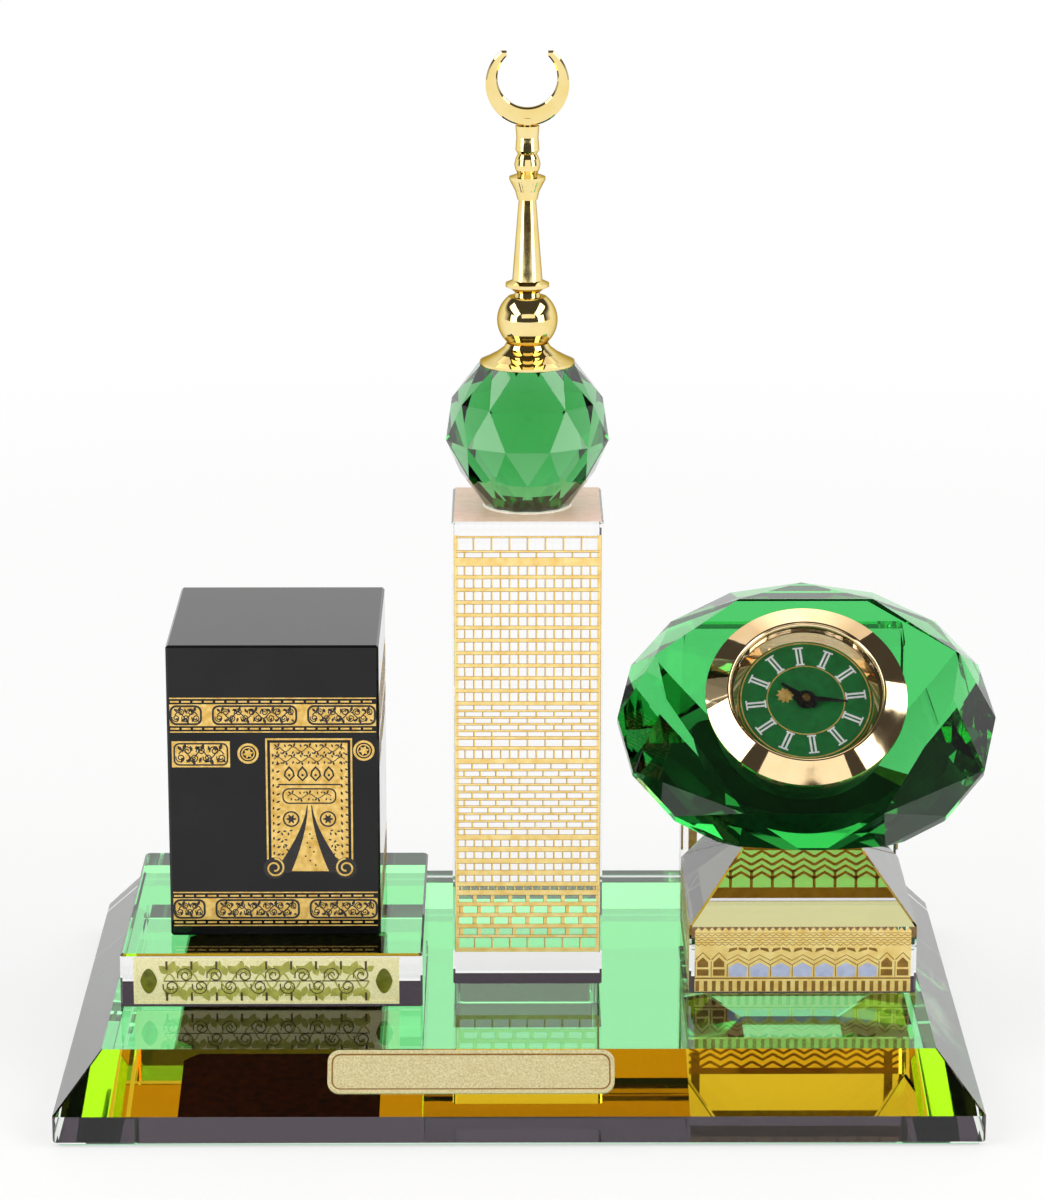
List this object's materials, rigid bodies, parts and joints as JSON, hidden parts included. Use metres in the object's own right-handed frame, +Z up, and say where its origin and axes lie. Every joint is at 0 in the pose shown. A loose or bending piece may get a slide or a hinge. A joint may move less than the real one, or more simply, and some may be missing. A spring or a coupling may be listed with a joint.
{
  "type": "crystal desk clock",
  "caption": "Glass desk clock: bevelled base with mirror film, black block, square tower with faceted ball and finial, and a leaning oval crystal holding a quartz insert.",
  "frame": {"origin": "middle of the base's underside, on the surface that it stands on", "axes": "+Z up, -Y towards the viewer of the dial, +X to the viewer's right"},
  "size_m": [0.1246, 0.085, 0.1355],
  "materials": {
    "clear_glass": "polished",
    "mirror_film": "mirror",
    "gold_plate": "polished",
    "black_glass": "polished",
    "green_crystal": "polished",
    "steel": "satin",
    "cell_steel": "polished",
    "case_plastic": "moulded",
    "grip_rubber": "moulded",
    "lens_glass": "polished",
    "dial_green": "satin",
    "hand_black": "satin",
    "wheel_brass": "machined",
    "board_green": "lacquered",
    "coil_copper": "wound"
  },
  "bodies": {
    "stand": {"base_slab": "clear_glass", "base_mirror_film": "mirror_film", "front_nameplate": "gold_plate", "cube_plinth": "clear_glass", "plinth_plate": "gold_plate", "cube_block": "black_glass", "tower_block": "clear_glass", "ball_crystal": "green_crystal", "finial_rod": "steel", "finial_skirt": "gold_plate", "finial_globe": "gold_plate", "finial_spire": "gold_plate", "finial_knop": "gold_plate", "finial_crescent": "gold_plate", "pedestal_block": "clear_glass", "pedestal_back_panel": "clear_glass", "clock_crystal": "green_crystal"},
    "insert": {"insert_case": "case_plastic", "insert_grip_ring": "grip_rubber", "bezel": "gold_plate", "lens": "lens_glass", "chapter_ring": "gold_plate", "dial": "dial_green", "movement_plate": "case_plastic", "train_bridge": "case_plastic", "bridge_screws": "steel", "circuit_board": "board_green", "cell_contact": "steel", "button_cell": "cell_steel", "back_cover": "case_plastic", "motor_stator": "steel", "coil_core": "steel", "motor_coil": "coil_copper"},
    "setting": {"minute_wheel": "wheel_brass", "setting_knob": "case_plastic"},
    "minute": {"minute_hand": "hand_black", "cannon_arbor": "wheel_brass"},
    "hour": {"hour_hand": "hand_black", "hour_wheel": "wheel_brass"},
    "centre": {"centre_wheel": "wheel_brass"},
    "step": {"step_wheel": "wheel_brass"},
    "rotor": {"motor_rotor": "steel"},
    "hatch": {"battery_hatch": "case_plastic"}
  },
  "joints": [
    {"name": "insert_pull", "type": "slide", "parent": "stand", "child": "insert", "axis": [0, -0.7071, 0.7071], "range_m": [0, 0.014]},
    {"name": "setting_turn", "type": "hinge", "parent": "insert", "child": "setting", "pos_m": [0.0385, -0.00956, 0.04604], "axis": [0, 0.7071, -0.7071], "continuous": true},
    {"name": "minute_turn", "type": "hinge", "parent": "insert", "child": "minute", "pos_m": [0.0385, -0.00617, 0.04943], "axis": [0, 0.7071, -0.7071], "continuous": true},
    {"name": "hour_turn", "type": "hinge", "parent": "insert", "child": "hour", "pos_m": [0.0385, -0.00617, 0.04943], "axis": [0, 0.7071, -0.7071], "continuous": true},
    {"name": "rotor_turn", "type": "hinge", "parent": "insert", "child": "rotor", "pos_m": [0.03331, -0.00978, 0.04582], "axis": [0, 0.7071, -0.7071], "continuous": true},
    {"name": "step_turn", "type": "hinge", "parent": "insert", "child": "step", "pos_m": [0.03467, -0.00715, 0.04845], "axis": [0, 0.7071, -0.7071], "continuous": true},
    {"name": "centre_turn", "type": "hinge", "parent": "insert", "child": "centre", "pos_m": [0.0385, -0.00617, 0.04943], "axis": [0, 0.7071, -0.7071], "continuous": true},
    {"name": "hatch_turn", "type": "hinge", "parent": "insert", "child": "hatch", "pos_m": [0.0385, -0.0027, 0.0529], "axis": [0, 0.7071, -0.7071], "range_deg": [0, 40]}
  ],
  "couplings": [
    {"joint": "minute_turn", "follows": "setting_turn", "ratio": -3},
    {"joint": "hour_turn", "follows": "setting_turn", "ratio": -0.25},
    {"joint": "step_turn", "follows": "rotor_turn", "ratio": -0.125},
    {"joint": "centre_turn", "follows": "rotor_turn", "ratio": 0.016667}
  ]
}
